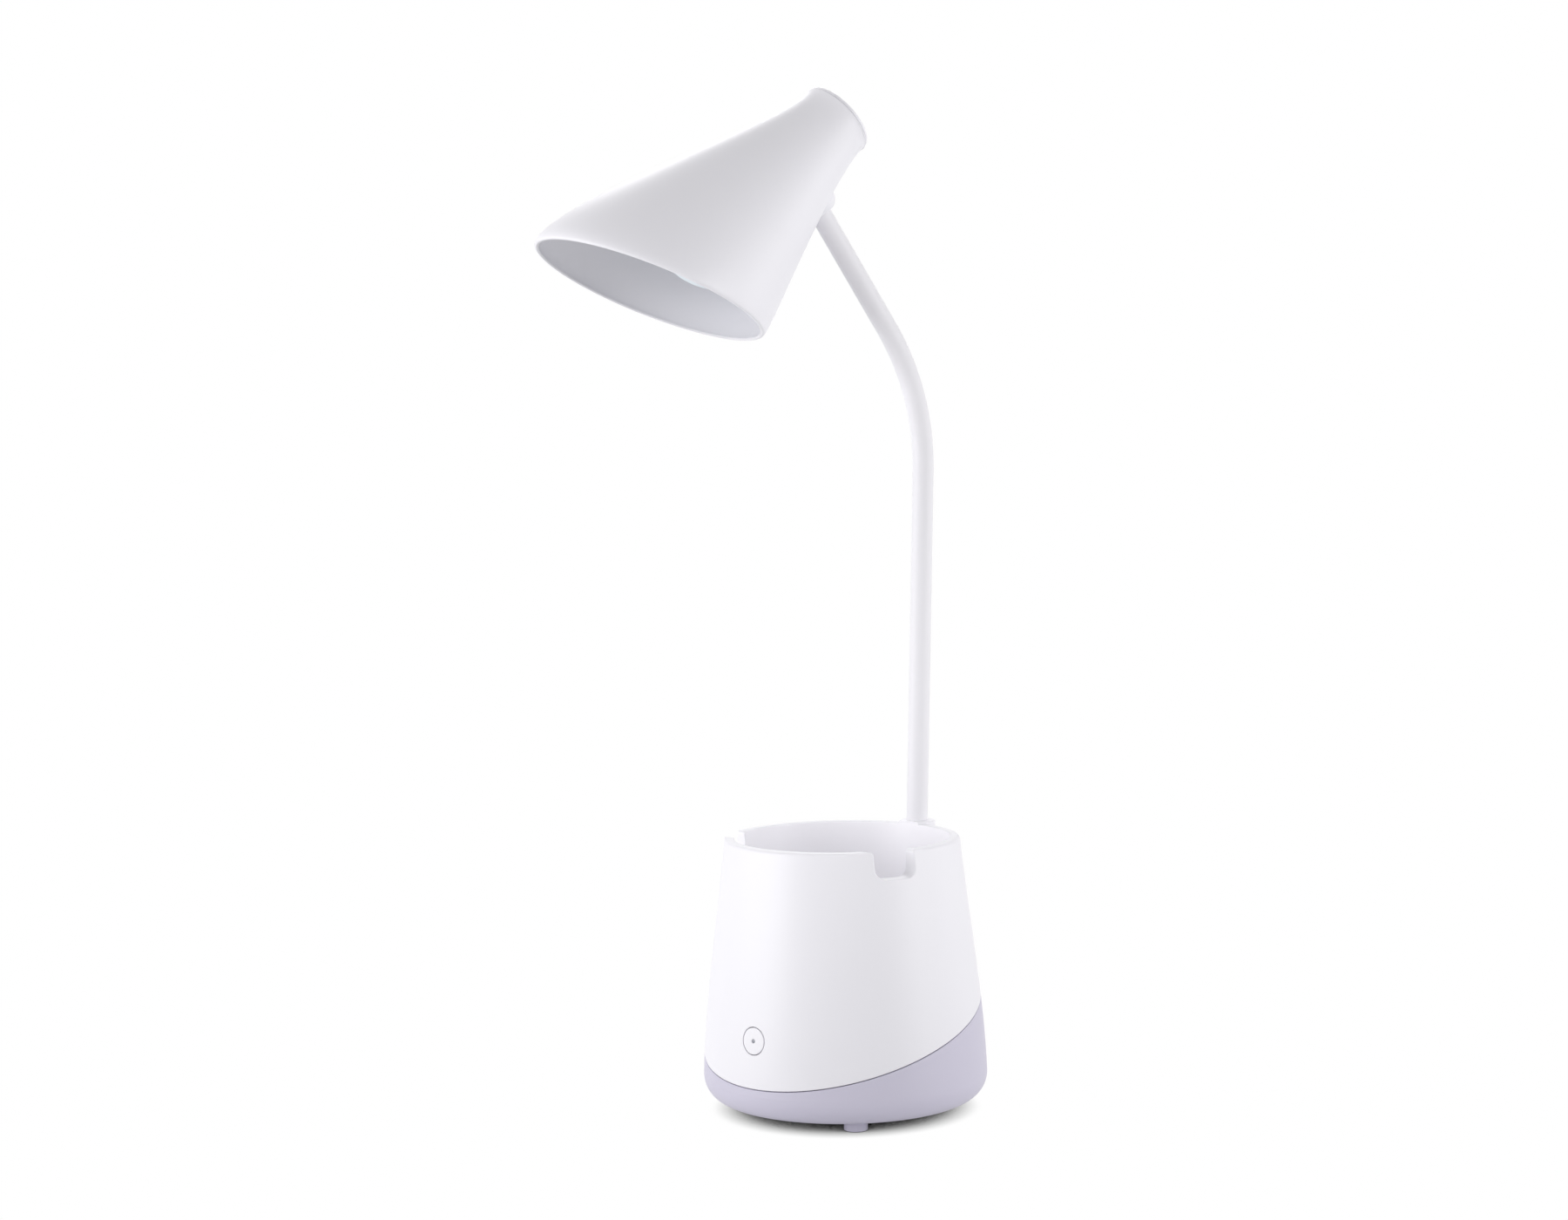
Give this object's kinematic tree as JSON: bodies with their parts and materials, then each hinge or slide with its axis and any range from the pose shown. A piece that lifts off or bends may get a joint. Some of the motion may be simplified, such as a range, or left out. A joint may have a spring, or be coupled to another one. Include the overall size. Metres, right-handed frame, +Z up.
{
  "type": "desk lamp with pen cup base",
  "caption": "Cordless desk lamp: a round base with a pen cup and a phone slot in its rim, a flexible gooseneck and a horn-shaped shade with a frosted diffuser.",
  "frame": {"origin": "on the base's own axis, at table level, in the middle of the four feet", "axes": "+Z up; -Y to the front, where the touch key is; +X to the right as seen from the front"},
  "size_m": [0.1438, 0.1553, 0.3943],
  "materials": {
    "shell": "satin",
    "housing": "satin",
    "pad": "matte",
    "steel": "zinc plated",
    "ballast": "bare steel plate",
    "cell": "shrink sleeve over a metal can",
    "cradle": "moulded",
    "lead": "insulated wire",
    "board": "solder mask",
    "part": "moulded",
    "lens": "clear light guide",
    "copper": "tinned foil",
    "sleeve": "smooth silicone",
    "led_plate": "white solder mask",
    "chip": "phosphor",
    "diffuser": "frosted"
  },
  "bodies": {
    "base": {"cup_shell": "shell", "base_housing": "housing", "foot_pads": "pad", "housing_screws": "steel", "ballast_plate": "ballast", "ballast_screws": "steel", "battery_cell": "cell", "battery_cradle": "cradle", "battery_leads": "lead", "main_board": "board", "board_parts": "part", "board_screws": "steel", "usb_socket": "steel", "touch_key": "shell", "key_light": "lens", "key_electrode": "copper", "key_board": "board", "key_board_screws": "steel", "key_lead": "lead", "neck_fitting_base": "steel", "neck_washer_base": "steel", "neck_nut_base": "steel", "neck_lead": "lead", "neck_sleeve_1": "sleeve", "neck_core_1": "steel", "neck_wire_1": "lead"},
    "neck_2": {"neck_sleeve_2": "sleeve", "neck_core_2": "steel", "neck_wire_2": "lead"},
    "neck_3": {"neck_sleeve_3": "sleeve", "neck_core_3": "steel", "neck_wire_3": "lead"},
    "neck_4": {"neck_sleeve_4": "sleeve", "neck_core_4": "steel", "neck_wire_4": "lead"},
    "neck_5": {"neck_sleeve_5": "sleeve", "neck_core_5": "steel", "neck_wire_5": "lead"},
    "neck_6": {"neck_sleeve_6": "sleeve", "neck_core_6": "steel", "neck_wire_6": "lead"},
    "neck_7": {"neck_sleeve_7": "sleeve", "neck_core_7": "steel", "neck_wire_7": "lead"},
    "head": {"neck_sleeve_8": "sleeve", "neck_core_8": "steel", "neck_wire_8": "lead", "neck_fitting_head": "steel", "neck_washer_head": "steel", "neck_nut_head": "steel", "head_lead": "lead", "neck_collar": "shell", "shade": "shell", "shade_cap": "shell", "head_bracket": "steel", "lamp_tray": "shell", "led_board": "led_plate", "led_chips": "chip", "led_screws": "steel", "diffuser": "diffuser"}
  },
  "joints": [
    {"name": "neck_lower_bend", "type": "hinge", "parent": "base", "child": "neck_2", "pos_m": [0.00046, 0.04812, 0.14113], "axis": [0.9239, -0.3827, 0], "range_deg": [-20, 22]},
    {"name": "neck_lower_sway", "type": "hinge", "parent": "neck_2", "child": "neck_3", "pos_m": [0.00093, 0.04924, 0.17586], "axis": [-0.3824, -0.9233, 0.0349], "range_deg": [-25, 25]},
    {"name": "neck_lower_bend_2", "type": "hinge", "parent": "neck_3", "child": "neck_4", "pos_m": [0.00139, 0.05036, 0.21059], "axis": [0.9239, -0.3827, 0], "range_deg": [-20, 22]},
    {"name": "neck_upper_sway", "type": "hinge", "parent": "neck_4", "child": "neck_5", "pos_m": [0.00186, 0.05148, 0.24532], "axis": [-0.3824, -0.9233, 0.0349], "range_deg": [-20, 20]},
    {"name": "neck_upper_bend", "type": "hinge", "parent": "neck_5", "child": "neck_6", "pos_m": [0.00053, 0.04829, 0.27476], "axis": [0.9239, -0.3827, 0], "range_deg": [-20, 22]},
    {"name": "neck_upper_sway_2", "type": "hinge", "parent": "neck_6", "child": "neck_7", "pos_m": [-0.0041, 0.0371, 0.30182], "axis": [-0.3217, -0.7766, -0.5417], "range_deg": [-20, 20]},
    {"name": "neck_upper_bend_2", "type": "hinge", "parent": "neck_7", "child": "head", "pos_m": [-0.00928, 0.02459, 0.32284], "axis": [0.9239, -0.3827, 0], "range_deg": [-20, 22]}
  ],
  "couplings": [
    {"joint": "neck_lower_bend_2", "follows": "neck_lower_bend", "ratio": 1},
    {"joint": "neck_upper_sway_2", "follows": "neck_upper_sway", "ratio": 1},
    {"joint": "neck_upper_bend_2", "follows": "neck_upper_bend", "ratio": 1}
  ]
}
